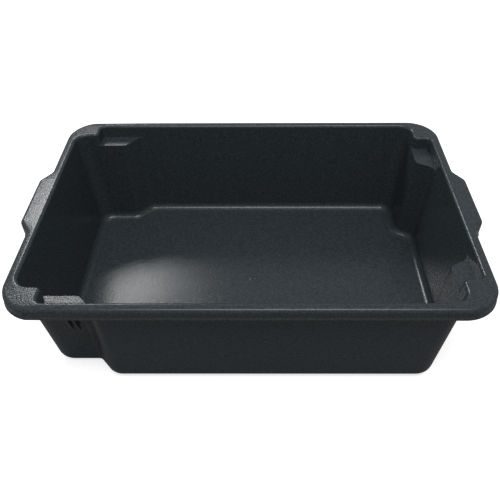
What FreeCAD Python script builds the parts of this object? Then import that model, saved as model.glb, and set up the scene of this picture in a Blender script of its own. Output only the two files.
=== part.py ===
# Stack-and-nest paint tub: one moulding in black polypropylene, modelled as its named regions.
#
# Frame: millimetres, +Z up, origin on the table under the centre of the rim. -X is the end whose
# corner posts are long, +X is the end whose corner posts are narrow, and the front and back halves
# mirror each other. Turned half round, one tub stands on the ledges of another; turned the same way,
# it nests inside it.
import FreeCAD, Part
import Sketcher
import os
import re
from FreeCAD import Vector

doc = FreeCAD.newDocument("paint_tub")

# ---------------------------------------------------------------- driving dimensions
SIZES = [
    # overall
    ("rim_length", 420.0), ("rim_width", 290.0), ("height", 117.0), ("rim_corner", 33.0),
    # thickness of the moulding
    ("wall", 2.4), ("floor_skin", 2.6), ("rim_skin", 2.6), ("skirt_wall", 2.2),
    # rim: width of its flat top, depth and outward lean of its skirt, rounding of its edges
    ("flange", 10.5), ("skirt", 12.2), ("skirt_lean", 0.8), ("rim_edge", 2.4), ("mouth_edge", 2.0),
    # lean of each wall from mouth to floor
    ("long_end_lean", 11.0), ("narrow_end_lean", 9.0), ("side_lean", 7.5), ("post_lean", 1.5),
    # rounding of the upright corners and of the floor
    ("room_corner", 11.0), ("post_edge", 5.0), ("post_root", 8.0),
    ("floor_edge", 5.0), ("base_edge", 7.2),
    # corner posts: how far each stands in, how long it is, and its slanted end
    ("long_post_in", 18.0), ("long_post_length", 52.5), ("long_post_slant", 16.0),
    ("narrow_post_in", 18.5), ("narrow_post_length", 53.5), ("narrow_post_slant", 10.0),
    # stacking ledges, and the corner plates that stay at rim height beside them
    ("ledge_drop", 14.0), ("ledge_skin", 2.4), ("long_plate", 24.0), ("narrow_plate", 26.5),
    ("plate_edge", 4.0),
    # handles
    ("handle_out", 10.0), ("handle_length", 66.0), ("handle_slant", 14.0), ("handle_skirt", 20.5),
    ("handle_corner", 5.0),
    # ribs under the ledges, which keep nested tubs from jamming
    ("rib_skin", 2.2), ("rib_first", 37.0), ("rib_pitch", 6.3), ("rib_reach", 12.0), ("rib_depth", 47.0),
    # where the moulding is divided into regions
    ("foot_band", 9.0), ("rim_band", 4.0), ("core_inset", 5.6), ("corner_zone", 41.0),
    ("zone_gap", 12.0), ("over", 1.0),
]
ALIASES = {alias for alias, _ in SIZES}

sheet = doc.addObject("Spreadsheet::Sheet", "sizes")
for row, (alias, value) in enumerate(SIZES, start=1):
    sheet.set(f"A{row}", alias)
    sheet.set(f"B{row}", str(value))
    sheet.setAlias(f"B{row}", alias)
doc.recompute()


# ---------------------------------------------------------------- expressions
def tied(text):
    """An expression in which every alias names its cell of the sheet."""
    return re.sub(r"[a-z_]+", lambda word: f"sizes.{word[0]}" if word[0] in ALIASES else word[0], text)


def value_of(text):
    return float(sheet.evalExpression(tied(text)))


def bind(feature, **expressions):
    for name, text in expressions.items():
        feature.setExpression(name.replace("__", "."), tied(text))
    return feature


# Faces of the room at the mouth and at the floor, as distances from the centre.
MOUTH_X = "(rim_length / 2 - flange)"
MOUTH_Y = "(rim_width / 2 - flange)"
MOUTH = {
    "left": f"-{MOUTH_X}",
    "right": MOUTH_X,
    "side": MOUTH_Y,
    "long_face": f"({MOUTH_Y} - long_post_in)",
    "long_end": f"(long_post_length - {MOUTH_X})",
    "narrow_face": f"({MOUTH_X} - narrow_post_in)",
    "narrow_end": f"({MOUTH_Y} - narrow_post_length)",
}
FLOOR = {
    "left": f"(long_end_lean - {MOUTH_X})",
    "right": f"({MOUTH_X} - narrow_end_lean)",
    "side": f"({MOUTH_Y} - side_lean)",
    "long_face": f"({MOUTH_Y} - long_post_in - side_lean)",
    "long_end": f"(long_post_length - {MOUTH_X} + post_lean)",
    "narrow_face": f"({MOUTH_X} - narrow_post_in - narrow_end_lean)",
    "narrow_end": f"({MOUTH_Y} - narrow_post_length - post_lean)",
}
LONG_MITRE = "tan(0.5 * atan(long_post_in / long_post_slant))"
NARROW_MITRE = "tan(0.5 * atan(narrow_post_in / narrow_post_slant))"
LEDGE_TOP = "(height - ledge_drop)"


def room_corners(face, grow):
    """Plan of the room at one level, grown outwards by a wall: the back half, from left to right."""
    return {
        "long_room": (f"{face['left']} - {grow}", f"{face['long_face']} + {grow}"),
        "long_edge": (f"{face['long_end']} - {grow} * {LONG_MITRE}", f"{face['long_face']} + {grow}"),
        "long_root": (f"{face['long_end']} + long_post_slant - {grow} * {LONG_MITRE}",
                      f"{face['side']} + {grow}"),
        "far_room": (f"{face['narrow_face']} + {grow}", f"{face['side']} + {grow}"),
        "narrow_edge": (f"{face['narrow_face']} + {grow}",
                        f"{face['narrow_end']} + {grow} * {NARROW_MITRE}"),
        "narrow_root": (f"{face['right']} + {grow}",
                        f"{face['narrow_end']} - narrow_post_slant + {grow} * {NARROW_MITRE}"),
    }


def both_halves(points):
    """Adds the front half's points, so that the outline closes."""
    return points + [(x, f"-({y})") for x, y in reversed(points)]


# ---------------------------------------------------------------- sketches and features
def origin_plane(body, role):
    return next(item for item in body.Origin.OriginFeatures if item.Role == role)


def polygon(body, name, points, level, role="XY_Plane"):
    """A closed outline whose corners are placed by expressions, at a level above its plane."""
    sketch = body.newObject("Sketcher::SketchObject", name)
    sketch.AttachmentSupport = [(origin_plane(body, role), "")]
    sketch.MapMode = "FlatFace"
    bind(sketch, AttachmentOffset__Base__z=level)
    spots = [Vector(value_of(x), value_of(y), 0) for x, y in points]
    count = len(spots)
    for index in range(count):
        sketch.addGeometry(Part.LineSegment(spots[index], spots[(index + 1) % count]), False)
    for index in range(count):
        sketch.addConstraint(Sketcher.Constraint("Coincident", index, 2, (index + 1) % count, 1))
    for index, (x, y) in enumerate(points):
        across = sketch.addConstraint(Sketcher.Constraint("DistanceX", -1, 1, index, 1, spots[index].x))
        along = sketch.addConstraint(Sketcher.Constraint("DistanceY", -1, 1, index, 1, spots[index].y))
        sketch.setExpression(f"Constraints[{across}]", tied(x))
        sketch.setExpression(f"Constraints[{along}]", tied(y))
    doc.recompute()
    return sketch


def tapered_body(label, low, low_level, high, high_level):
    """A body that starts as the flat-sided form between two outlines."""
    plans = doc.addObject("PartDesign::Body", f"{label}_plans")
    taper = doc.addObject("Part::Loft", f"{label}_taper")
    taper.Sections = [polygon(plans, f"{label}_low", low, low_level),
                      polygon(plans, f"{label}_high", high, high_level)]
    taper.Solid = True
    taper.Ruled = True
    taper.Linearize = True
    return body_of(label, taper)


def body_of(label, base):
    """A body whose features start from another object's shape."""
    doc.recompute()
    body = doc.addObject("PartDesign::Body", label)
    body.BaseFeature = base
    doc.recompute()
    return body


def pad(body, name, sketch, length):
    feature = body.newObject("PartDesign::Pad", name)
    feature.Profile = sketch
    bind(feature, Length=length)
    body.Tip = feature
    doc.recompute()
    return feature


def edges_where(feature, test):
    """Names of the edges whose two ends and middle all pass the test."""
    names = []
    for index, edge in enumerate(feature.Shape.Edges, start=1):
        ends = [vertex.Point for vertex in edge.Vertexes]
        middle = edge.valueAt(0.5 * (edge.FirstParameter + edge.LastParameter))
        if all(test(point) for point in ends + [middle]):
            names.append(f"Edge{index}")
    return names


def near_line(start, end):
    """Test for points on the straight line between two places."""
    direction = (end - start).normalize()

    def test(point):
        return (point - start).cross(direction).Length < 0.05
    return test


def on_level(level):
    def test(point):
        return abs(point.z - level) < 0.01
    return test


def fillet(body, name, names, radius):
    base = body.Tip
    feature = body.newObject("PartDesign::Fillet", name)
    feature.Base = (base, names)
    bind(feature, Radius=radius)
    body.Tip = feature
    doc.recompute()
    return feature


def place(point, level):
    return Vector(value_of(point[0]), value_of(point[1]), value_of(level))


def round_uprights(body, name, low, high, radius):
    """Rounds the upright edges that run between matching points of a low and a high outline."""
    names = []
    for start, end in zip(low, high):
        names += edges_where(body.Tip, near_line(start, end))
    return fillet(body, name, names, radius)


def mirrored(point):
    return Vector(point.x, -point.y, point.z)


# ---------------------------------------------------------------- the forms that shape the moulding
def room_form(label, grow, low_level, high_level, radii, foot_radius):
    """The room of the tub, or its outside, with its upright corners and its foot rounded."""
    low = room_corners(FLOOR, grow)
    high = room_corners(MOUTH, grow)
    body = tapered_body(label, both_halves(list(low.values())), low_level,
                        both_halves(list(high.values())), high_level)
    for radius, members in radii.items():
        starts = [place(low[key], low_level) for key in members]
        ends = [place(high[key], high_level) for key in members]
        starts += [mirrored(point) for point in starts]
        ends += [mirrored(point) for point in ends]
        round_uprights(body, f"{label}_{members[0]}", starts, ends, radius)
    fillet(body, f"{label}_foot", edges_where(body.Tip, on_level(value_of(low_level))), foot_radius)
    return body


def rectangle(x_low, x_high, y_low, y_high):
    return [(x_low, y_low), (x_high, y_low), (x_high, y_high), (x_low, y_high)]


def rounded_block(label, inset_low, low_level, inset_high, high_level, radius):
    """A rounded rectangle that follows the rim at a set distance inside it."""
    plans = []
    for inset in (inset_low, inset_high):
        half_x = f"(rim_length / 2 - {inset})"
        half_y = f"(rim_width / 2 - {inset})"
        plans.append(rectangle(f"-{half_x}", half_x, f"-{half_y}", half_y))
    body = tapered_body(label, plans[0], low_level, plans[1], high_level)
    starts = [place(point, low_level) for point in plans[0]]
    ends = [place(point, high_level) for point in plans[1]]
    round_uprights(body, f"{label}_corners", starts, ends, radius)
    return body


def handle_plan(side, root, lean, inset):
    """Plan of a handle: a trapezoid against the rim. Side is the sign of its end of the tub."""
    slope = f"{inset} * sqrt(handle_out ^ 2 + handle_slant ^ 2) / handle_out"
    wide = f"(handle_length / 2 + handle_slant - {slope})"
    narrow = f"(handle_length / 2 + handle_slant * {inset} / handle_out - {slope})"
    inner = f"{side} * (rim_length / 2 - {root})"
    middle = f"{side} * (rim_length / 2 - {lean})"
    outer = f"{side} * (rim_length / 2 + handle_out - {lean} - {inset})"
    back = [(inner, wide), (middle, wide), (outer, narrow)]
    return both_halves(back)


def handle_form(label, side, root, inset, low_level, high_level):
    low = handle_plan(side, root, "0", inset)
    high = handle_plan(side, root, "skirt_lean", inset)
    body = tapered_body(label, low, low_level, high, high_level)
    starts = [place(point, low_level) for point in low[2:4]]
    ends = [place(point, high_level) for point in high[2:4]]
    round_uprights(body, f"{label}_corners", starts, ends, f"handle_corner - {inset}")
    return body


def fuse(label, shapes):
    feature = doc.addObject("Part::MultiFuse", label)
    feature.Shapes = shapes
    feature.Refine = True
    doc.recompute()
    return feature


def cut(label, base, tool):
    feature = doc.addObject("Part::Cut", label)
    feature.Base = base
    feature.Tool = tool
    feature.Refine = True
    doc.recompute()
    return feature


def common(label, first, second):
    feature = doc.addObject("Part::Common", label)
    feature.Base = first
    feature.Tool = second
    doc.recompute()
    return feature


def rim_shell():
    """Flat rim with its turned-down skirt, and the two handles with their deeper skirts."""
    solid = [rounded_block("rim_form", "0", "height - skirt", "skirt_lean", "height", "rim_corner")]
    hollow = [rounded_block("rim_hollow", "skirt_wall", "height - skirt - over",
                            "(skirt_wall + skirt_lean)", "height - rim_skin", "rim_corner - skirt_wall")]
    for name, side in (("left", "-1"), ("right", "1")):
        solid.append(handle_form(f"handle_form_{name}", side, "skirt_wall", "0",
                                 "height - handle_skirt", "height"))
        hollow.append(handle_form(f"handle_hollow_{name}", side, "core_inset", "skirt_wall",
                                  "height - handle_skirt - over", "height - rim_skin"))
    body = body_of("rim_blank", fuse("rim_solids", solid))
    fillet(body, "rim_top_edge", edges_where(body.Tip, on_level(value_of("height"))), "rim_edge")
    return cut("rim_shell", body, fuse("rim_hollows", hollow))


def long_ledge_plan(wall, into_room, past_end, lean):
    """Plan of the ledge on the back long post: its recess, or with a wall the box round it."""
    return rectangle(f"(long_plate - {MOUTH_X} - {wall})",
                     f"(long_post_length + long_post_slant - {MOUTH_X} + {past_end})",
                     f"({MOUTH_Y} - long_post_in - {into_room})",
                     f"({MOUTH_Y} + {wall} - side_lean * {lean})")


def narrow_ledge_plan(wall, into_room, past_end, lean):
    """Plan of the ledge on the back narrow post."""
    return rectangle(f"({MOUTH_X} - narrow_post_in - {into_room})",
                     f"({MOUTH_X} + {wall} - narrow_end_lean * {lean})",
                     f"({MOUTH_Y} - narrow_post_length - narrow_post_slant - {past_end})",
                     f"({MOUTH_Y} - narrow_plate + {wall})")


def turned_front(plan):
    return [(x, f"-({y})") for x, y in reversed(plan)]


LEDGES = {
    "long": (long_ledge_plan, "post_root"),
    "narrow": (narrow_ledge_plan, "room_corner"),
}


def ledge_boxes():
    """The boxes that stand out of the corner posts and carry the ledges."""
    boxes = []
    for end, (plan, _) in LEDGES.items():
        low = plan("wall", "0", "0", "(ledge_drop + ledge_skin) / height")
        high = plan("wall", "0", "0", "0")
        for half, turn in (("back", list), ("front", turned_front)):
            boxes.append(tapered_body(f"ledge_box_{end}_{half}",
                                      turn(low), "height - ledge_drop - ledge_skin", turn(high), "height"))
    return boxes


def ledge_recesses():
    """The spaces above the ledges, open to the room, each with one rounded upright in its corner."""
    recesses = []
    depth = "(height + over - floor_skin)"
    for end, (plan, past_end) in LEDGES.items():
        low = plan("0", "post_edge", past_end, f"(ledge_drop + over) / {depth}")
        high = plan("0", "post_edge", past_end, "0")
        corner = 3 if end == "long" else 2
        for half, turn in (("back", list), ("front", turned_front)):
            name = f"ledge_recess_{end}_{half}"
            body = tapered_body(name, turn(low), "height - ledge_drop", turn(high), "height + over")
            start = place(low[corner], "height - ledge_drop")
            end_point = place(high[corner], "height + over")
            if half == "front":
                start, end_point = mirrored(start), mirrored(end_point)
            round_uprights(body, f"{name}_corner", [start], [end_point], "plate_edge")
            recesses.append(body)
    return recesses


def moulding():
    """The whole tub, without its ribs."""
    outside = room_form("outside", "wall", "0", "height", {
        "room_corner + wall": ("long_room", "far_room", "narrow_root"),
        "post_edge - wall": ("long_edge", "narrow_edge"),
        "post_root + wall": ("long_root",)}, "base_edge")
    room = room_form("room", "0", "floor_skin", "height + over", {
        "room_corner": ("long_room", "far_room", "narrow_root"),
        "post_edge": ("long_edge", "narrow_edge"),
        "post_root": ("long_root",)}, "floor_edge")
    solid = fuse("solid_tub", [outside, rim_shell()] + ledge_boxes())
    hollow = fuse("room_and_recesses", [room] + ledge_recesses())
    return round_mouth(cut("open_tub", solid, hollow))


def round_mouth(tub):
    """Rounds the edge where the flat rim turns down into the room."""
    body = body_of("tub", tub)
    level = value_of("height")
    half_x = value_of(f"{MOUTH_X} + 0.5 * flange")
    half_y = value_of(f"{MOUTH_Y} + 0.5 * flange")

    def at_mouth(point):
        return abs(point.z - level) < 0.01 and abs(point.x) < half_x and abs(point.y) < half_y
    fillet(body, "mouth_rounding", edges_where(body.Tip, at_mouth), "mouth_edge")
    return body


# ---------------------------------------------------------------- regions of the moulding
# Positions of the dividing planes.
LONG_CUT_X = f"(long_post_length + long_post_slant - {MOUTH_X} + zone_gap)"
LONG_CUT_Y = f"({MOUTH_Y} - long_post_in - side_lean - zone_gap)"
NARROW_CUT_X = f"({MOUTH_X} - narrow_post_in - narrow_end_lean - zone_gap)"
NARROW_CUT_Y = f"({MOUTH_Y} - narrow_post_length - narrow_post_slant - zone_gap)"
CORNER_CUT_X = "(rim_length / 2 - corner_zone)"
CORNER_CUT_Y = "(rim_width / 2 - corner_zone)"
HANDLE_CUT_X = "(rim_length / 2 - skirt_lean - skirt_wall)"
HANDLE_CUT_Y = "(handle_length / 2 + handle_slant)"
FAR_X = "(rim_length / 2 + handle_out + over)"
FAR_Y = "(rim_width / 2 + over)"
BELOW = "(0 - over)"
ABOVE = "(height + over)"
LEDGE_FLOOR = "(height - ledge_drop - ledge_skin)"


def minus(text):
    return f"-{text}"


def zone(label, x, y, z):
    """A box that spans pairs of expressions, lowest first, along X, Y and Z."""
    low, high = zip(x, y, z)
    solid = doc.addObject("Part::Box", label)
    for axis, value in zip("xyz", low):
        solid.setExpression(f"Placement.Base.{axis}", tied(value))
    for length, first, last in zip(("Length", "Width", "Height"), low, high):
        solid.setExpression(length, tied(f"{last} - {first}"))
    return solid


def region(label, source, *box_spans):
    """Takes the part of a shape that lies in a box, as a node of its own."""
    node = common(label, source, zone(f"{label}_zone", *box_spans))
    node.Label = label
    return node


def take_handles(rim):
    """The two handles, and what is left of the rim."""
    handles = []
    boxes = []
    for name, x in (("left", (minus(FAR_X), minus(HANDLE_CUT_X))), ("right", (HANDLE_CUT_X, FAR_X))):
        spans = (x, (minus(HANDLE_CUT_Y), HANDLE_CUT_Y), (BELOW, ABOVE))
        handles.append(region(f"handle_{name}", rim, *spans))
        boxes.append(zone(f"handle_{name}_room", *spans))
    return handles, cut("rim_without_handles", rim, fuse("handle_rooms", boxes))


def rim_regions(rim):
    """Handles, straight lengths of rim, and the four corners with their plates."""
    handles, ring = take_handles(rim)
    level = (BELOW, ABOVE)
    middle_x = (minus(CORNER_CUT_X), CORNER_CUT_X)
    middle_y = (minus(CORNER_CUT_Y), CORNER_CUT_Y)
    ends = {"left": (minus(FAR_X), minus(CORNER_CUT_X)), "right": (CORNER_CUT_X, FAR_X)}
    sides = {"front": (minus(FAR_Y), minus(CORNER_CUT_Y)), "back": (CORNER_CUT_Y, FAR_Y)}
    nodes = list(handles)
    for end, x in ends.items():
        nodes.append(region(f"rim_{end}", ring, x, middle_y, level))
    for side, y in sides.items():
        nodes.append(region(f"rim_{side}", ring, middle_x, y, level))
        for end, x in ends.items():
            nodes.append(region(f"rim_corner_{side}_{end}", ring, x, y, level))
    return nodes


def wall_regions(core):
    """Four walls, four corner posts and the ledge that each post carries."""
    level = ("foot_band", ABOVE)
    nodes = [
        region("wall_left", core, (minus(FAR_X), LONG_CUT_X), (minus(LONG_CUT_Y), LONG_CUT_Y), level),
        region("wall_right", core, (NARROW_CUT_X, FAR_X), (minus(NARROW_CUT_Y), NARROW_CUT_Y), level),
    ]
    for side, turn in (("front", True), ("back", False)):
        def across(low, high):
            return (minus(high), minus(low)) if turn else (low, high)
        middle = region(f"wall_{side}", core, (LONG_CUT_X, NARROW_CUT_X), across("0", FAR_Y), level)
        long_post = zone(f"long_{side}", (minus(FAR_X), LONG_CUT_X), across(LONG_CUT_Y, FAR_Y), level)
        narrow_post = zone(f"narrow_{side}", (NARROW_CUT_X, FAR_X), across(NARROW_CUT_Y, FAR_Y), level)
        long_ledge = zone(f"long_ledge_{side}", (f"(long_plate - {MOUTH_X} - wall)", LONG_CUT_X),
                          across(LONG_CUT_Y, FAR_Y), (LEDGE_FLOOR, ABOVE))
        narrow_ledge = zone(f"narrow_ledge_{side}", (NARROW_CUT_X, FAR_X),
                            across(NARROW_CUT_Y, f"({MOUTH_Y} - narrow_plate + wall)"), (LEDGE_FLOOR, ABOVE))
        nodes.append(middle)
        for end, post, ledge in (("left", long_post, long_ledge), ("right", narrow_post, narrow_ledge)):
            corner = common(f"corner_{side}_{end}", core, post)
            nodes.append(cut(f"corner_post_{side}_{end}", corner, ledge))
            nodes.append(common(f"stacking_ledge_{side}_{end}", corner, ledge))
    return nodes


def regions(tub):
    floor = region("floor_pan", tub, (minus(FAR_X), FAR_X), (minus(FAR_Y), FAR_Y), (BELOW, "foot_band"))
    core_block = rounded_block("core_block", "core_inset", "foot_band", "core_inset", "height - rim_band",
                               "rim_corner - core_inset")
    core = common("core", tub, core_block)
    foot = zone("foot_zone", (minus(FAR_X), FAR_X), (minus(FAR_Y), FAR_Y), (BELOW, "foot_band"))
    rim = cut("rim", tub, fuse("not_rim", [core_block, foot]))
    return [floor] + wall_regions(core) + rim_regions(rim)


# ---------------------------------------------------------------- ribs
def rib_profile(face, lean):
    """Upright triangle against a leaning wall: its distances from the centre, and its heights."""
    at_top = f"({face} + wall - {lean} * (ledge_drop + ledge_skin) / height)"
    at_foot = f"({face} + wall - {lean} * (ledge_drop + ledge_skin + rib_depth) / height)"
    return [(at_top, LEDGE_FLOOR), (f"({at_top} + rib_reach)", LEDGE_FLOOR),
            (at_foot, f"({LEDGE_FLOOR} - rib_depth)")]


def rib(label, role, profile, place_along, flip):
    """One thin triangular rib, standing on a plane square to the wall that it backs."""
    body = doc.addObject("PartDesign::Body", label)
    if flip:
        profile = [(f"-{away}", level) for away, level in reversed(profile)]
    sketch = polygon(body, f"{label}_profile", profile, f"{place_along} - rib_skin / 2", role)
    pad(body, f"{label}_pad", sketch, "rib_skin")
    return body


def ribs():
    """A pair of ribs under each ledge, on the face of the post that is set in."""
    made = []
    long_profile = rib_profile(f"({MOUTH_Y} - long_post_in)", "side_lean")
    narrow_profile = rib_profile(f"({MOUTH_X} - narrow_post_in)", "narrow_end_lean")
    for number in (0, 1):
        along = f"(rib_first + {number} * rib_pitch)"
        for side, front in (("front", True), ("back", False)):
            made.append(rib(f"nest_rib_{side}_left_{number + 1}", "YZ_Plane", long_profile,
                            f"({along} - {MOUTH_X})", front))
            # The XZ plane faces -Y, so a level above it counts towards the front.
            level = f"({MOUTH_Y} - {along})"
            made.append(rib(f"nest_rib_{side}_right_{number + 1}", "XZ_Plane", narrow_profile,
                            level if front else f"-{level}", False))
    return made


# ---------------------------------------------------------------- build, check and write
def check_document():
    for item in doc.Objects:
        failed = {"Invalid", "Error"} & set(item.State)
        if failed:
            raise RuntimeError(f"{item.Name} is {failed}")


def check_node(node):
    shape = node.Shape
    if shape.isNull() or not shape.isValid() or len(shape.Solids) != 1:
        raise RuntimeError(f"{node.Label} isn't one valid solid")


tub = moulding()
nodes = regions(tub) + ribs()
doc.recompute()
check_document()
for node in nodes:
    check_node(node)
left_over = tub.Shape.Volume - sum(node.Shape.Volume for node in nodes if "rib" not in node.Label)
print(f"{len(nodes)} nodes in a tub of {tub.Shape.Volume:.0f} cubic mm, {left_over:.1f} outside its regions")

os.makedirs("parts", exist_ok=True)
for node in nodes:
    node.Shape.exportStep(f"parts/{node.Label}.step")
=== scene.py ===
import bpy
import numpy as np
from mathutils import Matrix, Vector


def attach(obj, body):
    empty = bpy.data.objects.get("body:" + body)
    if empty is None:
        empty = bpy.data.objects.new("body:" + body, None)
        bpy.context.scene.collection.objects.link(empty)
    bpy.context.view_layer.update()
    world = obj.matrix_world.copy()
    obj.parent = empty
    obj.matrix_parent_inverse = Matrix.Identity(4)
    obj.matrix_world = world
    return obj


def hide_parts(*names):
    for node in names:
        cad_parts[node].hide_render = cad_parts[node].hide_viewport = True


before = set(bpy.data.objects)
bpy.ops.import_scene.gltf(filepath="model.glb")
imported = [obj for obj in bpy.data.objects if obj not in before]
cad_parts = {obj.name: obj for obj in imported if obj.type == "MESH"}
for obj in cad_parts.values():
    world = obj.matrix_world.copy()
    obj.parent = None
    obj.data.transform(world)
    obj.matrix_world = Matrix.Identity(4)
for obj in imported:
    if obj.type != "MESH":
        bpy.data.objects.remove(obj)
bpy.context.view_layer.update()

mm = 0.001

# The tub is one moulding, so its skin is one closed surface. Lengths are in millimetres.
tub = {
    "rimLength": 420.0, "rimWidth": 290.0, "height": 117.0, "rimCorner": 33.0,
    "flange": 10.5, "wall": 2.4, "floorSkin": 2.6, "rimSkin": 2.6,
    "skirt": 12.2, "skirtWall": 2.2, "skirtLean": 0.8,
    "leanLeft": 11.0, "leanRight": 9.0, "leanSide": 7.5, "leanPost": 1.5,
    "longIn": 18.0, "longLength": 52.5, "longSlant": 16.0,
    "narrowIn": 18.5, "narrowLength": 53.5, "narrowSlant": 10.0,
    "ledgeDrop": 14.0, "ledgeSkin": 2.4, "longPlate": 24.0, "narrowPlate": 26.5,
    # Upright corners have one radius at the floor and another at the mouth.
    "roomRadius": (15.0, 13.0), "edgeRadius": (10.0, 5.0), "rootRadius": (14.0, 8.0),
    "tipRadius": 5.0, "plateRadius": 5.0, "tipClear": 2.5, "tipGap": 1.5, "rootRun": 9.0,
    "floorEdge": 7.0, "baseEdge": 11.0, "mouthEdge": 3.0, "rimEdge": 3.7, "rimFall": 0.35,
    "ledgeEdge": 1.3,
}
handle = {"out": 10.0, "length": 66.0, "slant": 14.0, "skirt": 20.5, "soft": 3.0}
# The bead's profile runs down to the foot of the skirt: how far out, and how high above the foot.
bead = {"radius": 0.9, "profile": [(-0.75, 3.4), (-0.6, 2.8), (-0.22, 2.3), (-0.03, 1.8), (0.0, 1.2)]}
gate = {"radius": 2.6, "rise": 0.2, "soft": 0.7}
rib = {"skin": 2.2, "first": 37.0, "pitch": 6.3, "reach": 12.0, "depth": 47.0, "edge": 0.35, "sink": 0.6}

mouthX = tub["rimLength"] / 2 - tub["flange"]
mouthY = tub["rimWidth"] / 2 - tub["flange"]


# Every outline is taken round the back half from the left end to the right, then mirrored to the front.
# A share of the way from one value to another.
def lerp(low, high, share):
    return low + (high - low) * share


# A direction turned a quarter circle to the left: minus Y, then X.
def turnedLeft(direction):
    return np.stack([-direction[..., 1], direction[..., 0]], -1)


# Arc between two straight sides: it starts one tangent length before the corner, which is the radius times
# the tangent of half the turn, and its direction turns evenly from one side's to the other's.
def arc(before, corner, after, radius, count):
    first = corner - before
    second = after - corner
    first /= np.linalg.norm(first, axis=-1, keepdims=True)
    second /= np.linalg.norm(second, axis=-1, keepdims=True)
    turn = np.arctan2(first[:, 0] * second[:, 1] - first[:, 1] * second[:, 0], (first * second).sum(-1))
    radius = np.broadcast_to(radius, turn.shape)
    side = np.sign(turn)
    start = corner - first * (radius * np.tan(abs(turn) / 2))[:, None]
    centre = start + turnedLeft(first) * (side * radius)[:, None]
    angle = turn[:, None] * np.linspace(0, 1, count)
    cos, sin = np.cos(angle), np.sin(angle)
    outward = turnedLeft(first)[:, None, :]
    normal = np.stack([outward[..., 0] * cos - outward[..., 1] * sin,
                       outward[..., 0] * sin + outward[..., 1] * cos], -1)
    return centre[:, None, :] - normal * (side * radius)[:, None, None], normal


# Straight run: evenly spaced points between two ends, or at given shares of the way.
def run(start, end, shares):
    shares = np.asarray(shares, float)[None, :, None]
    points = start[:, None, :] + (end - start)[:, None, :] * shares
    along = (end - start) / np.linalg.norm(end - start, axis=-1, keepdims=True)
    normal = np.broadcast_to(turnedLeft(along)[:, None, :], points.shape)
    return points, normal


# The room's plan at each level. A share of 0 is the floor and 1 the mouth, and every side leans evenly between.
# Above the ledges, the slanted end of each post gives way to the end of its corner plate.
def roomPlan(level, aboveLedge):
    share = (level - tub["floorSkin"]) / (tub["height"] - tub["floorSkin"])
    left = lerp(tub["leanLeft"] - mouthX, -mouthX, share)
    right = lerp(mouthX - tub["leanRight"], mouthX, share)
    side = lerp(mouthY - tub["leanSide"], mouthY, share)
    longFace = side - tub["longIn"]
    narrowFace = right - tub["narrowIn"]
    longEnd = lerp(tub["longLength"] - mouthX + tub["leanPost"], tub["longLength"] - mouthX, share)
    narrowEnd = lerp(mouthY - tub["narrowLength"] - tub["leanPost"], mouthY - tub["narrowLength"], share)
    plateX = tub["longPlate"] - mouthX + 0 * level
    plateY = mouthY - tub["narrowPlate"] + 0 * level
    roomRadius, edgeRadius, rootRadius = (lerp(*tub[name], np.clip(share, 0, 1))
                                          for name in ("roomRadius", "edgeRadius", "rootRadius"))

    def at(x, y):
        return np.stack([x + 0 * level, y + 0 * level], -1)
    if aboveLedge:
        longEdge, longRoot = at(plateX, longFace), at(plateX, side)
        narrowEdge, narrowRoot = at(narrowFace, plateY), at(right, plateY)
        edge, root, last = tub["tipRadius"], tub["plateRadius"], tub["plateRadius"]
    else:
        longEdge, longRoot = at(longEnd, longFace), at(longEnd + tub["longSlant"], side)
        narrowEdge, narrowRoot = at(narrowFace, narrowEnd), at(right, narrowEnd - tub["narrowSlant"])
        edge, root, last = edgeRadius, rootRadius, roomRadius
    room, far = at(left, longFace), at(narrowFace, side)
    beforeTip = at(plateX - tub["tipRadius"] - tub["tipClear"] + tub["leanLeft"] * (1 - share), longFace)
    aboveTip = at(narrowFace, plateY + tub["tipRadius"] + tub["tipGap"] - tub["leanSide"] * (1 - share))
    afterRoot = at(tub["longLength"] + tub["longSlant"] + tub["leanPost"] + tub["rootRun"] - mouthX, side)
    startMiddle, endMiddle = at(left, 0), at(right, 0)

    arcs = {
        "room": arc(startMiddle, room, longEdge, roomRadius, 9),
        "longEdge": arc(room, longEdge, longRoot, edge, 8),
        "longRoot": arc(longEdge, longRoot, far, root, 8),
        "far": arc(longRoot, far, narrowEdge, roomRadius, 9),
        "narrowEdge": arc(far, narrowEdge, narrowRoot, edge, 8),
        "narrowRoot": arc(narrowEdge, narrowRoot, endMiddle, last, 8),
    }

    def first(name):
        return arcs[name][0][:, 0]

    def final(name):
        return arcs[name][0][:, -1]
    endShares = endStations()
    return [
        run(startMiddle, at(left, endStop), endShares),
        run(at(left, endStop), first("room"), [0.5]),
        arcs["room"],
        run(final("room"), beforeTip, [0.5, 1]),
        arcs["longEdge"], run(final("longEdge"), first("longRoot"), [0.5]), arcs["longRoot"],
        run(afterRoot, first("far"), np.linspace(0, 1, 25)[:-1]),
        arcs["far"],
        run(final("far"), aboveTip, [0.5, 1]),
        arcs["narrowEdge"], run(final("narrowEdge"), first("narrowRoot"), [0.5]), arcs["narrowRoot"],
        run(at(right, endStop), at(right, 0), 1 - endShares[::-1]),
    ]


# Stations along half of an end wall, as shares of the way from its middle: close together where the
# handle's outline turns.
endStop = 60.0


def endStations():
    half = handle["length"] / 2
    root = half + handle["slant"]
    soft = handle["soft"]
    turns = [np.linspace(spot - soft, spot + soft, 6) for spot in (half, root)]
    between = [np.linspace(0, half - soft, 7)[:-1], [half + handle["slant"] / 2], [root + soft + 4]]
    return np.sort(np.concatenate(turns + between)) / endStop


movingPieces = ("longEdge", "longSlope", "longRoot", "narrowEdge", "narrowSlope", "narrowRoot")
pieceNames = ("leftEnd", "leftGap", "room", "longFace", "longEdge", "longSlope", "longRoot", "back", "far",
              "narrowFace", "narrowEdge", "narrowSlope", "narrowRoot", "rightEnd")


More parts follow.
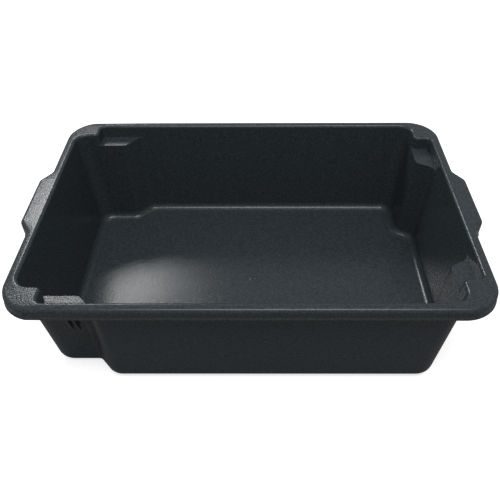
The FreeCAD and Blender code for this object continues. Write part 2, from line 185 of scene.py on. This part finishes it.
# The rim's outline, by the distance travelled along it from the middle of the left end: a straight, a
# quarter circle, the back, a quarter circle and a straight. Each handle adds a soft-cornered trapezoid.
def rimPlan(travel):
    radius = tub["rimCorner"]
    flatY = tub["rimWidth"] / 2 - radius
    flatX = tub["rimLength"] - 2 * radius
    quarter = np.pi / 2 * radius
    first = np.clip(travel - flatY, 0, quarter) / radius
    second = np.clip(travel - flatY - quarter - flatX, 0, quarter) / radius
    back = np.clip(travel - flatY - quarter, 0, flatX)
    rise = np.clip(travel, 0, flatY)
    fall = np.clip(travel - flatY - 2 * quarter - flatX, 0, flatY)
    x = -flatX / 2 - radius * np.cos(first) + back + radius * np.sin(second)
    y = rise + radius * np.sin(first) + radius * (np.cos(second) - 1) - fall
    return np.stack([x + np.sign(x) * handleBulge(y) * (abs(x) > flatX / 2), y], -1)


# A ramp with its two corners rounded: the mean of the straight-sided ramp over a short window.
def softRamp(away, start, end, soft):
    def area(t):
        u = np.clip((t - start) / (end - start), 0, 1)
        return (end - start) * u * u / 2 + np.maximum(t - end, 0)
    return (area(away + soft) - area(away - soft)) / (2 * soft)


# How far a handle stands out: all of its reach over its length, falling along a soft ramp at each end.
def handleBulge(y):
    half = handle["length"] / 2
    return handle["out"] * (1 - softRamp(abs(y), half, half + handle["slant"], handle["soft"]))


# How far along the rim each station lies. Straight walls look straight across the rim, and the stations of
# a corner share out the quarter circle.
def rimTravel(mouth):
    radius = tub["rimCorner"]
    flatY = tub["rimWidth"] / 2 - radius
    flatX = tub["rimLength"] - 2 * radius
    quarter = np.pi / 2 * radius
    farStart = flatY + quarter + flatX
    spans = {"room": (flatY - 8, flatY + 0.12 * quarter),
             "longFace": (flatY + 0.20 * quarter, flatY + 0.30 * quarter),
             "longEdge": (flatY + 0.36 * quarter, flatY + 0.50 * quarter),
             "longSlope": (flatY + 0.58 * quarter,) * 2,
             "longRoot": (flatY + 0.66 * quarter, flatY + 0.86 * quarter),
             "far": (farStart - 8, farStart + 0.22 * quarter),
             "narrowFace": (farStart + 0.30 * quarter, farStart + 0.39 * quarter),
             "narrowEdge": (farStart + 0.45 * quarter, farStart + 0.60 * quarter),
             "narrowSlope": (farStart + 0.68 * quarter,) * 2,
             "narrowRoot": (farStart + 0.76 * quarter, farStart + 0.98 * quarter)}
    travel = []
    for name, (points, _) in zip(pieceNames, mouth):
        if name in spans:
            travel.append(np.linspace(*spans[name], points.shape[1]))
        elif name in ("leftEnd", "leftGap"):
            travel.append(points[0, :, 1])
        elif name == "back":
            travel.append(flatY + quarter + points[0, :, 0] + flatX / 2)
        else:
            travel.append(farStart + quarter + flatY - points[0, :, 1])
    return np.concatenate(travel)


# Rounding in section: how far a quarter circle has gone across and how far up, at even angles.
def quarterRound(radius, count):
    angle = np.linspace(0, np.pi / 2, count)
    return radius * np.sin(angle), radius * (1 - np.cos(angle))


# The front half mirrors the back half, and the two share the stations in the middle of each end.
def closeRing(half):
    front = half[:, -2:0:-1] * np.array([1.0, -1.0, 1.0])[:half.shape[-1]]
    return np.concatenate([half, front], axis=1)


# Rows of the room at given levels, each moved out from the room's side by its offset along the normal.
def roomRows(level, offset, aboveLedge):
    level = np.asarray(level, float)
    offset = np.broadcast_to(np.asarray(offset, float), level.shape)
    pieces = roomPlan(level, aboveLedge)
    points = np.concatenate([p for p, _ in pieces], axis=1)
    normals = np.concatenate([n for _, n in pieces], axis=1)
    plan = points + normals * offset[:, None, None]
    return np.concatenate([plan, np.broadcast_to(level[:, None, None], plan.shape[:2] + (1,))], -1)


# Rows across a flat floor or base, by their share of the way out: circles round the middle that blend into
# the outline along a smooth step. They are close together at the gate.
circleReach = 130.0
gateRadii = np.array([0.0, 1.0, 1.9, 2.3, 2.7, 3.2, 4.2, 6.0])
floorShares = np.concatenate([gateRadii / circleReach, np.linspace(0.08, 1, 14)[:-1]])


def flatRows(outline, shares):
    rim = outline[0]
    angle = np.arctan2(rim[:, 1], rim[:, 0])
    circle = np.stack([np.cos(angle), np.sin(angle)], -1) * circleReach
    shares = np.asarray(shares, float)[:, None, None]
    blend = np.clip((shares - 0.05) / 0.5, 0, 1)
    blend = blend * blend * (3 - 2 * blend)
    plan = shares * lerp(circle[None], rim[None, :, :2], blend)
    level = np.broadcast_to(outline[:, :, 2:], plan.shape[:2] + (1,))
    return np.concatenate([plan, level], -1)


# Outward normals of one closed level outline, from the directions of its neighbouring stations.
def ringNormals(plan):
    along = np.roll(plan, -1, axis=0) - np.roll(plan, 1, axis=0)
    along /= np.linalg.norm(along, axis=-1, keepdims=True)
    return turnedLeft(along)


# The whole skin as one grid. Columns go round the tub, and rows go from the middle of the floor, up the room,
# over the rim and down its skirt, up inside the skirt, down the outside, and in to the middle of the base.
def tubGrid():
    top = tub["height"]
    ledge = top - tub["ledgeDrop"]
    floor = tub["floorSkin"]
    wall = tub["wall"]

    across, up = quarterRound(tub["floorEdge"], 7)
    footRows = closeRing(roomRows(floor + up, across - tub["floorEdge"], False))
    floorRows = flatRows(footRows[:1], floorShares)
    floorRows[..., 2] += gateRelief(floorRows)
    wallRows = closeRing(roomRows(np.linspace(floor + tub["floorEdge"], ledge, 8)[1:], 0, False))
    across, up = quarterRound(tub["mouthEdge"], 6)
    recessRows = closeRing(roomRows([ledge, lerp(ledge, top, 0.4)], 0, True))
    mouthRows = closeRing(roomRows(top - tub["mouthEdge"] + across, up, True))

    mouthPieces = roomPlan(np.array([top]), True)
    rim = closeRing(rimPlan(rimTravel(mouthPieces))[None])[0]
    rimNormal = ringNormals(rim)
    bulge = handleBulge(rim[:, 1]) * (abs(rim[:, 0]) > tub["rimLength"] / 2 - tub["rimCorner"]) / handle["out"]
    foot = top - tub["skirt"] - (handle["skirt"] - tub["skirt"]) * np.clip(bulge * 1.6 - 0.3, 0, 1) ** 0.7

    def rimRow(offset, level):
        level = np.broadcast_to(level, rim.shape[:1])
        return np.concatenate([rim + rimNormal * offset, level[:, None]], -1)[None]
    lean = tub["skirtLean"]
    across, up = quarterRound(tub["rimEdge"], 7)
    rimRows = [rimRow(-lean - tub["rimEdge"] + a, top - tub["rimFall"] - u) for a, u in zip(across, up)]
    skirtLevel = top - tub["rimFall"] - tub["rimEdge"]
    skirtRows = [rimRow(-lean, lerp(skirtLevel, foot + bead["profile"][0][1], share)) for share in (0.4, 0.8)]
    skirtRows += [rimRow(offset, foot + rise) for offset, rise in bead["profile"]]
    across, up = quarterRound(bead["radius"], 5)
    skirtRows += [rimRow(a - bead["radius"], foot + u) for a, u in zip(across[::-1], up[::-1])]
    inside = tub["skirtWall"]
    under = top - tub["rimSkin"]
    skirtRows += [rimRow(0.5 - inside, foot), rimRow(-inside, foot + 0.5),
                  rimRow(-inside - lean, under - 1), rimRow(-inside - lean - 1, under)]

    boxFloor = ledge - tub["ledgeSkin"]
    outerTop = closeRing(roomRows([under, lerp(under, boxFloor, 0.5), boxFloor], wall, True))
    outerWall = closeRing(roomRows(np.linspace(boxFloor, tub["baseEdge"], 9), wall, False))
    across, up = quarterRound(tub["baseEdge"], 7)
    baseRows = closeRing(roomRows(up[::-1], (wall + across - tub["baseEdge"])[::-1], False))
    flatBase = flatRows(baseRows[-1:], floorShares[::-1])

    return {
        "rows": np.concatenate([floorRows, footRows, wallRows, recessRows, mouthRows, *rimRows, *skirtRows,
                                outerTop, outerWall, baseRows[1:], flatBase]),
        "ledgeStep": len(floorRows) + len(footRows) + len(wallRows) - 1,
        "boxStep": -(len(flatBase) + len(baseRows) - 1 + len(outerWall)) - 1,
    }


# The gate leaves a low ring in the middle of the floor: a bell curve of the distance from the ring's radius.
def gateRelief(rows):
    away = np.hypot(rows[..., 0], rows[..., 1])
    return gate["rise"] * np.exp(-((away - gate["radius"]) / gate["soft"]) ** 2)


# Columns whose place moves at a ledge, as a mask round the whole ring.
def movingColumns():
    pieces = roomPlan(np.array([tub["height"]]), True)
    flags = [np.full(points.shape[1], name in movingPieces) for name, (points, _) in zip(pieceNames, pieces)]
    half = np.concatenate(flags)
    return np.concatenate([half, half[-2:0:-1]])


# Faces of the grid, and the edges that are rounded. At a step only the moving columns have a shelf. The others
# share one row of points, and the two faces beside each shelf take the shelf's end as an extra corner: the
# lower wall's face at the front end of the shelf, and the upper wall's at the other. The first and last rows
# are single points, joined to their neighbours by triangles.
def tubFaces(shape, steps, moving):
    rowCount, columnCount = shape
    index = np.arange(rowCount * columnCount).reshape(shape)
    for step, _ in steps:
        index[step + 1, ~moving] = index[step, ~moving]
    index[0] = index[0, 0]
    index[-1] = index[-1, 0]
    ahead = np.roll(index, -1, axis=1)
    quads = np.stack([index[:-1], ahead[:-1], ahead[1:], index[1:]], -1)
    keep = np.ones(quads.shape[:2], bool)
    keep[0] = keep[-1] = False
    movingAhead = np.roll(moving, -1)
    both = moving & movingAhead
    corners, rounded = [], []
    for step, rising in steps:
        keep[step] = both
        if rising:
            below, low, high, above = step - 1, step, step + 1, step + 2
        else:
            below, low, high, above = step + 2, step + 1, step, step - 1
        for column in np.flatnonzero(moving != movingAhead):
            following = (column + 1) % columnCount
            mover = following if movingAhead[column] else column
            isFront = movingAhead[column] == (column < columnCount / 2)
            if isFront:
                face = [(below, column), (below, following), (low, following), (high, mover), (low, column)]
                keep[min(low, below), column] = False
            else:
                face = [(high, column), (low, mover), (high, following), (above, following), (above, column)]
                keep[min(high, above), column] = False
            if isFront == rising:
                rounded.append((index[low, mover], index[high, mover]))
            face = [int(index[spot]) for spot in face]
            corners.append(face if rising else face[::-1])
        rounded += list(zip(index[step, both], ahead[step, both]))
    fans = [[int(index[0, 0]), int(b), int(a)] for a, b in zip(index[1], ahead[1])]
    fans += [[int(a), int(b), int(index[-1, 0])] for a, b in zip(index[-2], ahead[-2])]
    return quads[keep].tolist() + corners + fans, rounded


# The tub's mesh: the grid's points that a face uses, with a bevel weight of 1 on the ledges' edges.
def tubSurface():
    grid = tubGrid()
    rows = grid["rows"]
    steps = [(grid["ledgeStep"], True), (grid["boxStep"] + len(rows), False)]
    faces, rounded = tubFaces(rows.shape[:2], steps, movingColumns())
    points = rows.reshape(-1, 3) * mm
    used, packed = np.unique(np.concatenate([np.array(face) for face in faces]), return_inverse=True)
    ends = np.cumsum([len(face) for face in faces])[:-1]
    mesh = bpy.data.meshes.new("tub")
    mesh.from_pydata(points[used].tolist(), [], [face.tolist() for face in np.split(packed, ends)])
    mesh.update()
    pairs = {frozenset(pair) for pair in np.searchsorted(used, np.array(rounded)).tolist()}
    weights = mesh.attributes.new("bevel_weight_edge", "FLOAT", "EDGE")
    weights.data.foreach_set("value", [float(frozenset(edge.vertices) in pairs) for edge in mesh.edges])
    return mesh


# A piece of the moulding, which rides on the tub and stands in for some of its nodes.
def addPiece(name, mesh, replaced):
    piece = bpy.data.objects.new(name, mesh)
    bpy.context.scene.collection.objects.link(piece)
    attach(piece, "root")
    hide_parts(*replaced)
    return piece


sharpAngle = 40


# Rounds edges that are marked or sharp, and keeps flat faces flat in the shading.
def roundEdges(piece, width, segments, byWeight):
    bevel = piece.modifiers.new("rounded edges", "BEVEL")
    bevel.width = width * mm
    bevel.segments = segments
    bevel.limit_method = "WEIGHT" if byWeight else "ANGLE"
    shading = piece.modifiers.new("flat faces stay flat", "WEIGHTED_NORMAL")
    shading.keep_sharp = True
    piece.data.shade_smooth()
    piece.data.set_sharp_from_angle(angle=np.radians(sharpAngle))


print("moulding the tub")
ribNodes = sorted(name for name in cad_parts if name.startswith("nest_rib"))
tubPiece = addPiece("moulded_tub", tubSurface(), sorted(set(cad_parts) - set(ribNodes)))
roundEdges(tubPiece, tub["ledgeEdge"], 3, True)


# Each rib is a triangle that stands out of a post, upright against its leaning face and given its thickness
# along the wall. Its hidden side is sunk into the post and into the ledge box above.
def ribMesh(name, face, lean, facing, along):
    top = tub["height"] - tub["ledgeDrop"] - tub["ledgeSkin"]
    foot = top - rib["depth"]
    sink = rib["sink"]
    atTop, atFoot = (face + tub["wall"] - lean * (1 - level / tub["height"]) for level in (top, foot))
    away = np.array([atTop - sink, atTop + rib["reach"], atFoot - sink])
    level = np.array([top + sink, top + sink, foot - 1])
    half = rib["skin"] / 2
    corners = np.stack([np.repeat([along - half, along + half], 3), np.tile(away, 2), np.tile(level, 2)], -1)
    faces = [(0, 1, 2), (5, 4, 3), (0, 3, 4, 1), (1, 4, 5, 2), (2, 5, 3, 0)]
    if np.linalg.det(facing) < 0:
        faces = [face[::-1] for face in faces]
    mesh = bpy.data.meshes.new(name)
    mesh.from_pydata((corners @ facing.T * mm).tolist(), [], faces)
    return mesh


# A pair of ribs outside each post. The left posts' ribs face the back or the front, and the right posts' ribs
# face the right end, so each has a matrix that turns along, away and up into X, Y and Z.
def addRibs():
    longFace, narrowFace = mouthY - tub["longIn"], mouthX - tub["narrowIn"]
    facingRight = np.array([[0.0, 1, 0], [1, 0, 0], [0, 0, 1]])
    pieces = []
    for number in (0, 1):
        step = rib["first"] + number * rib["pitch"]
        for side, sign in (("back", 1), ("front", -1)):
            facing = np.diag([1.0, sign, 1])
            spots = (("left", longFace, tub["leanSide"], facing, step - mouthX),
                     ("right", narrowFace, tub["leanRight"], facingRight, sign * (mouthY - step)))
            for end, *setting in spots:
                name = f"nest_rib_{side}_{end}_{number + 1}"
                piece = addPiece(f"{name}_skin", ribMesh(name, *setting), [name])
                roundEdges(piece, rib["edge"], 2, False)
                pieces.append(piece)
    return pieces


print("adding the ribs")
ribPieces = addRibs()


# An sRGB hex colour as linear values: the low end is divided by 12.92 and the rest follows a 2.4 power.
def linear(code):
    parts = np.array([int(code[place:place + 2], 16) for place in (1, 3, 5)]) / 255
    return (*np.where(parts <= 0.04045, parts / 12.92, ((parts + 0.055) / 1.055) ** 2.4), 1.0)


# Adds one node with its settings, and gives each input its value or links it.
def addNode(tree, kind, inputs=None, **settings):
    node = tree.nodes.new(kind)
    for name, value in settings.items():
        setattr(node, name, value)
    for name, value in (inputs or {}).items():
        if isinstance(value, bpy.types.NodeSocket):
            tree.links.new(value, node.inputs[name])
        else:
            node.inputs[name].default_value = value
    return node


plastic = {
    "dark": "#2f363a", "light": "#444b50", "roughness": (0.17, 0.20), "ior": 1.49, "shine": 0.4,
    "grainSize": 1.7, "grainRise": 0.16, "mottleSize": 14.0, "warpSize": 90.0, "warpRise": 0.12,
}


# Black polypropylene, injection moulded: the spark-eroded mould leaves a fine grain that speckles the colour
# and breaks up the highlights. Uneven cooling varies the gloss a little and leaves the walls not quite flat.
def blackPolypropylene():
    material = bpy.data.materials.new("black_moulded_polypropylene")
    material.use_nodes = True
    tree = material.node_tree
    tree.nodes.clear()
    place = addNode(tree, "ShaderNodeTexCoord").outputs["Object"]
    grain, mottle, warp = (
        addNode(tree, "ShaderNodeTexNoise", {"Vector": place, "Scale": 1 / (size * mm), "Detail": detail,
                                             "Roughness": roughness}).outputs["Fac"]
        for size, detail, roughness in ((plastic["grainSize"], 3.0, 0.6), (plastic["mottleSize"], 5.0, 0.6),
                                        (plastic["warpSize"], 1.0, 0.5)))
    low, high = plastic["roughness"]
    tint = addNode(tree, "ShaderNodeMapRange", {"Value": grain, "From Min": 0.35, "From Max": 0.65})
    gloss = addNode(tree, "ShaderNodeMapRange", {"Value": mottle, "From Min": 0.3, "From Max": 0.7,
                                                 "To Min": low, "To Max": high})
    colour = addNode(tree, "ShaderNodeMix", {"Factor": tint.outputs["Result"], "A": linear(plastic["dark"]),
                                             "B": linear(plastic["light"])}, data_type="RGBA")
    wavy = addNode(tree, "ShaderNodeBump", {"Height": warp, "Distance": plastic["warpRise"] * mm})
    rough = addNode(tree, "ShaderNodeBump", {"Height": grain, "Distance": plastic["grainRise"] * mm,
                                             "Normal": wavy.outputs["Normal"]})
    shader = addNode(tree, "ShaderNodeBsdfPrincipled", {
        "Base Color": colour.outputs["Result"], "Roughness": gloss.outputs["Result"], "IOR": plastic["ior"],
        "Specular IOR Level": plastic["shine"], "Normal": rough.outputs["Normal"]})
    addNode(tree, "ShaderNodeOutputMaterial", {"Surface": shader.outputs["BSDF"]})
    return material


print("finishing the plastic")
finish = blackPolypropylene()
for piece in [tubPiece] + ribPieces:
    piece.data.materials.append(finish)


stage = {
    "white": "#ffffff", "floor": "#f4f4f4", "table": "#8c8c8c", "glow": 0.7, "reach": 6.0, "level": -0.0003,
}
light = {
    "world": 0.30,
    "key": {"towards": (-0.485, 0.874), "height": 40.0, "away": 1.9, "size": (0.58, 0.38), "power": 9.0},
    "fill": {"towards": (0.2, -0.98), "height": 74.0, "away": 2.4, "size": (1.5, 1.1), "power": 24.0},
}
lampTarget = Vector((0, 0, 0.06))


# Matt studio floor: white paper that still takes a shadow where it is seen, and a grey table to the plastic.
def paleFloor():
    material = bpy.data.materials.new("pale_studio_floor")
    material.use_nodes = True
    tree = material.node_tree
    tree.nodes.clear()
    seen = addNode(tree, "ShaderNodeLightPath").outputs["Is Camera Ray"]
    colour = addNode(tree, "ShaderNodeMix", {"Factor": seen, "A": linear(stage["table"]),
                                             "B": linear(stage["floor"])}, data_type="RGBA")
    glow = addNode(tree, "ShaderNodeMath", {0: seen, 1: stage["glow"]}, operation="MULTIPLY")
    paper = addNode(tree, "ShaderNodeBsdfPrincipled", {"Base Color": colour.outputs["Result"], "Roughness": 1.0,
                                                       "Specular IOR Level": 0.0,
                                                       "Emission Color": linear(stage["white"]),
                                                       "Emission Strength": glow.outputs["Value"]})
    addNode(tree, "ShaderNodeOutputMaterial", {"Surface": paper.outputs["BSDF"]})
    return material


# One large square, just under the tub.
def addFloor():
    reach, level = stage["reach"], stage["level"]
    mesh = bpy.data.meshes.new("studio_floor")
    corners = [(-reach, -reach, level), (reach, -reach, level), (reach, reach, level), (-reach, reach, level)]
    mesh.from_pydata(corners, [], [(0, 1, 2, 3)])
    floor = bpy.data.objects.new("studio_floor", mesh)
    bpy.context.scene.collection.objects.link(floor)
    mesh.materials.append(paleFloor())


# White all round where it is seen, and dimmer where it only lights the tub.
def addWorld():
    world = bpy.data.worlds.new("studio_world")
    bpy.context.scene.world = world
    world.use_nodes = True
    tree = world.node_tree
    tree.nodes.clear()
    seen = addNode(tree, "ShaderNodeLightPath")
    strength = addNode(tree, "ShaderNodeMapRange", {"Value": seen.outputs["Is Camera Ray"],
                                                    "To Min": light["world"], "To Max": 1.0})
    backdrop = addNode(tree, "ShaderNodeBackground", {"Color": linear(stage["white"]),
                                                       "Strength": strength.outputs["Result"]})
    addNode(tree, "ShaderNodeOutputWorld", {"Surface": backdrop.outputs["Background"]})


# A soft rectangular lamp, placed by its heading and its height in degrees, and turned to face the tub.
def addLamp(name, setting):
    heading = np.array(setting["towards"]) / np.linalg.norm(setting["towards"])
    climb = np.radians(setting["height"])
    place = Vector((*(heading * np.cos(climb)), np.sin(climb))) * setting["away"]
    data = bpy.data.lights.new(name, "AREA")
    data.shape = "RECTANGLE"
    data.size, data.size_y = setting["size"]
    data.energy = setting["power"]
    lamp = bpy.data.objects.new(name, data)
    lamp.location = place + lampTarget
    lamp.rotation_euler = (-place).to_track_quat("-Z", "Y").to_euler()
    bpy.context.scene.collection.objects.link(lamp)


# The camera stands in front of the tub and looks down at it.
camera = {
    "place": (10.8, -443.6, 470.0), "yaw": 0.0084, "down": 0.7615, "roll": -0.0066,
    "lens": 41.26, "sensor": 36.0, "shift": (-0.018, 0.0), "nearest": 0.01,
}


# Its axes come from its heading, how far it looks down, and a slight roll.
def addCamera():
    yaw, down, roll = camera["yaw"], camera["down"], camera["roll"]
    forward = Vector((-np.sin(yaw) * np.cos(down), np.cos(yaw) * np.cos(down), -np.sin(down)))
    right = Vector((np.cos(yaw), np.sin(yaw), 0))
    up = right.cross(forward)
    rolledRight = right * np.cos(roll) + up * np.sin(roll)
    rolledUp = up * np.cos(roll) - right * np.sin(roll)
    data = bpy.data.cameras.new("camera")
    data.lens, data.sensor_width = camera["lens"], camera["sensor"]
    data.shift_x, data.shift_y = camera["shift"]
    data.clip_start = camera["nearest"]
    view = bpy.data.objects.new("camera", data)
    turn = Matrix((rolledRight, rolledUp, -forward)).transposed().to_4x4()
    view.matrix_world = Matrix.Translation(Vector(camera["place"]) * mm) @ turn
    bpy.context.scene.collection.objects.link(view)
    bpy.context.scene.camera = view


print("setting the stage")
addFloor()
addWorld()
addLamp("key_softbox", light["key"])
addLamp("front_fill", light["fill"])
addCamera()
bpy.context.scene.view_settings.view_transform = "Standard"
